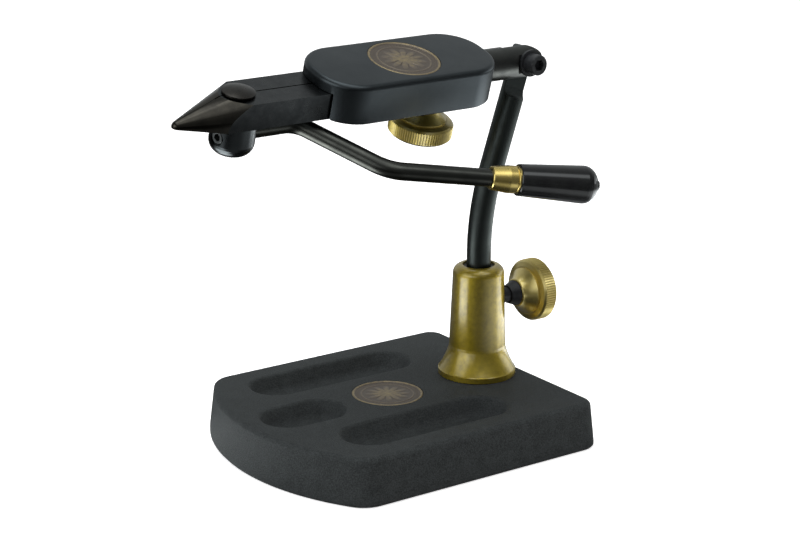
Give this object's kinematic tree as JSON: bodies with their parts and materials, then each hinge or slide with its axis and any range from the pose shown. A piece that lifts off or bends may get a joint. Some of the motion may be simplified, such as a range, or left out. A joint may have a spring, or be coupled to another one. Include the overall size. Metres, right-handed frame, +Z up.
{
  "type": "fly tying vise",
  "caption": "Bench fly tying vise: pocketed heavy base, brass pillar, bent sliding stem and a tilting, turning head whose spring-closed jaws are opened by a cam on a long lever.",
  "frame": {"origin": "on the pillar's axis at the underside of the base's pad, where the tool stands on the bench", "axes": "+Z up along the pillar, the jaws point along -X, the lever lies on the -Y side"},
  "size_m": [0.1656, 0.1131, 0.1542],
  "materials": {
    "charcoal_coat": "fine textured powder coat, satin",
    "pad_rubber": "matt",
    "antique_brass": "antiqued, dark in the recesses and bright on the rim",
    "aged_brass": "turned, satin, slightly tarnished",
    "bright_brass": "turned and knurled, semi-bright",
    "black_steel": "black oxide",
    "gun_black_steel": "blackened, satin",
    "jaw_steel": "hardened and black oxided, ground on the nose",
    "bare_steel": "drawn, bare",
    "black_anodised": "bead-blasted and black anodised, satin",
    "black_nylon": "satin",
    "black_grip": "dipped, glossy"
  },
  "bodies": {
    "base": {"base_casting": "charcoal_coat", "base_pad": "pad_rubber", "base_medallion": "antique_brass", "pillar": "aged_brass", "pillar_bolt": "black_steel"},
    "sleeve": {"stem_sleeve": "black_nylon"},
    "stem": {"stem": "gun_black_steel", "tilt_washer": "black_steel"},
    "stem_lock": {"clamp_screw": "black_steel", "clamp_knob": "bright_brass"},
    "tilt_lock": {"tilt_screw": "black_steel"},
    "shaft": {"head_shaft": "gun_black_steel"},
    "head": {"head_body": "black_anodised", "head_medallion": "antique_brass", "jaw_pins": "bare_steel", "jaw_spring": "bare_steel"},
    "head_lock": {"lock_screw": "black_steel", "lock_knob": "bright_brass"},
    "lever": {"cam_shaft": "jaw_steel", "cam_hub": "gun_black_steel", "hub_screw": "black_steel", "lever_rod": "gun_black_steel", "lever_ferrule": "bright_brass", "lever_grip": "black_grip"},
    "jaw_left": {"jaw_left": "jaw_steel"},
    "jaw_right": {"jaw_right": "jaw_steel"}
  },
  "joints": [
    {"name": "stem_swivel", "type": "hinge", "parent": "base", "child": "sleeve", "pos_m": [0, 0, 0.06], "axis": [0, 0, 1], "continuous": true},
    {"name": "stem_height", "type": "slide", "parent": "sleeve", "child": "stem", "axis": [0, 0, 1], "range_m": [-0.006, 0.012]},
    {"name": "stem_clamp_turn", "type": "hinge", "parent": "base", "child": "stem_lock", "pos_m": [0.015, 0, 0.0484], "axis": [1, 0, 0], "range_deg": [0, 180]},
    {"name": "tilt_screw_turn", "type": "hinge", "parent": "stem", "child": "tilt_lock", "pos_m": [0.01888, -0.005, 0.1423], "axis": [0, -1, 0], "range_deg": [0, 180]},
    {"name": "head_tilt", "type": "hinge", "parent": "stem", "child": "shaft", "pos_m": [0.01888, 0, 0.1423], "axis": [0, 1, 0], "range_deg": [-12, 30]},
    {"name": "head_rotation", "type": "hinge", "parent": "shaft", "child": "head", "pos_m": [-0.02, 0, 0.1423], "axis": [1, 0, 0], "range_deg": [-280, 40]},
    {"name": "head_lock_turn", "type": "hinge", "parent": "head", "child": "head_lock", "pos_m": [-0.02462, 0.00272, 0.13268], "axis": [0, 0.2723, -0.9622], "range_deg": [0, 180]},
    {"name": "lever_squeeze", "type": "hinge", "parent": "head", "child": "lever", "pos_m": [-0.10942, 0.00272, 0.13268], "axis": [0, 0.2723, -0.9622], "range_deg": [-16, 0], "stiffness_Nm_per_rad": 6, "springref_deg": 2.86, "deforming": ["jaw_spring"]},
    {"name": "jaw_left_swing", "type": "hinge", "parent": "head", "child": "jaw_left", "pos_m": [-0.07102, 0.00481, 0.14366], "axis": [0, -0.2723, 0.9622], "range_deg": [-1.44, 0]},
    {"name": "jaw_right_swing", "type": "hinge", "parent": "head", "child": "jaw_right", "pos_m": [-0.07102, -0.00481, 0.14094], "axis": [0, -0.2723, 0.9622], "range_deg": [0, 1.44]}
  ],
  "couplings": [
    {"joint": "jaw_left_swing", "follows": "lever_squeeze", "ratio": 0.09},
    {"joint": "jaw_right_swing", "follows": "lever_squeeze", "ratio": -0.09}
  ]
}
